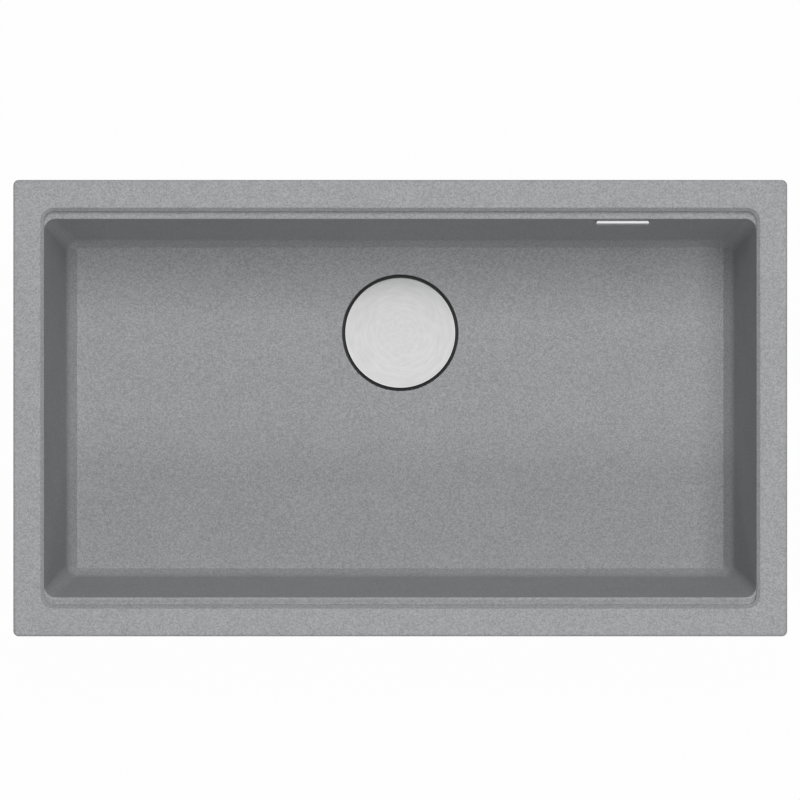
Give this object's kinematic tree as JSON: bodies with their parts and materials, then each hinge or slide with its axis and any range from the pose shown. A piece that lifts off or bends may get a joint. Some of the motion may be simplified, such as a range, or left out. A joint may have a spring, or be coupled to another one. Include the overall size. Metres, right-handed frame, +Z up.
{
  "type": "kitchen sink",
  "caption": "Single-bowl granite composite kitchen sink with board ledges, push-to-open strainer waste and a slot overflow piped to the waste.",
  "frame": {"origin": "middle of the rim's underside, the plane that sits on the worktop", "axes": "+X along the long side, +Y to the back wall with the overflow, +Z up out of the bowl"},
  "size_m": [0.78, 0.46, 0.3325],
  "materials": {
    "granite": "matte",
    "brushed_cover": "satin",
    "steel_sheet": "satin",
    "turned_steel": "gloss",
    "chrome": "polished",
    "brass": "satin",
    "black_rubber": "matte",
    "white_plastic": "satin",
    "grey_plastic": "satin"
  },
  "bodies": {
    "sink": {"sink_bowl": "granite", "waste_flange": "steel_sheet", "flange_gasket": "black_rubber", "body_gasket": "black_rubber", "waste_body": "white_plastic", "latch_washer": "black_rubber", "latch_bolt": "brass", "latch_plug": "brass", "latch_spring": "turned_steel", "overflow_cover": "chrome", "overflow_gasket": "black_rubber", "overflow_housing": "white_plastic", "overflow_screw": "turned_steel", "overflow_drop_pipe": "white_plastic", "overflow_bend": "white_plastic", "overflow_run_pipe": "white_plastic", "union_nuts": "grey_plastic", "union_seals": "black_rubber"},
    "plunger": {"latch_plunger": "turned_steel"},
    "strainer": {"strainer_basket": "steel_sheet", "basket_post": "turned_steel", "basket_stopper": "black_rubber", "basket_nut": "turned_steel"},
    "cover": {"drain_cover": "brushed_cover", "cover_socket": "grey_plastic"}
  },
  "joints": [
    {"name": "push_open", "type": "slide", "parent": "sink", "child": "plunger", "axis": [0, 0, 1], "range_m": [0, 0.01], "deforming": ["latch_spring"]},
    {"name": "strainer_lift", "type": "slide", "parent": "plunger", "child": "strainer", "axis": [0, 0, 1], "range_m": [0, 0.265]},
    {"name": "cover_lift", "type": "slide", "parent": "strainer", "child": "cover", "axis": [0, 0, 1], "range_m": [0, 0.06]}
  ]
}
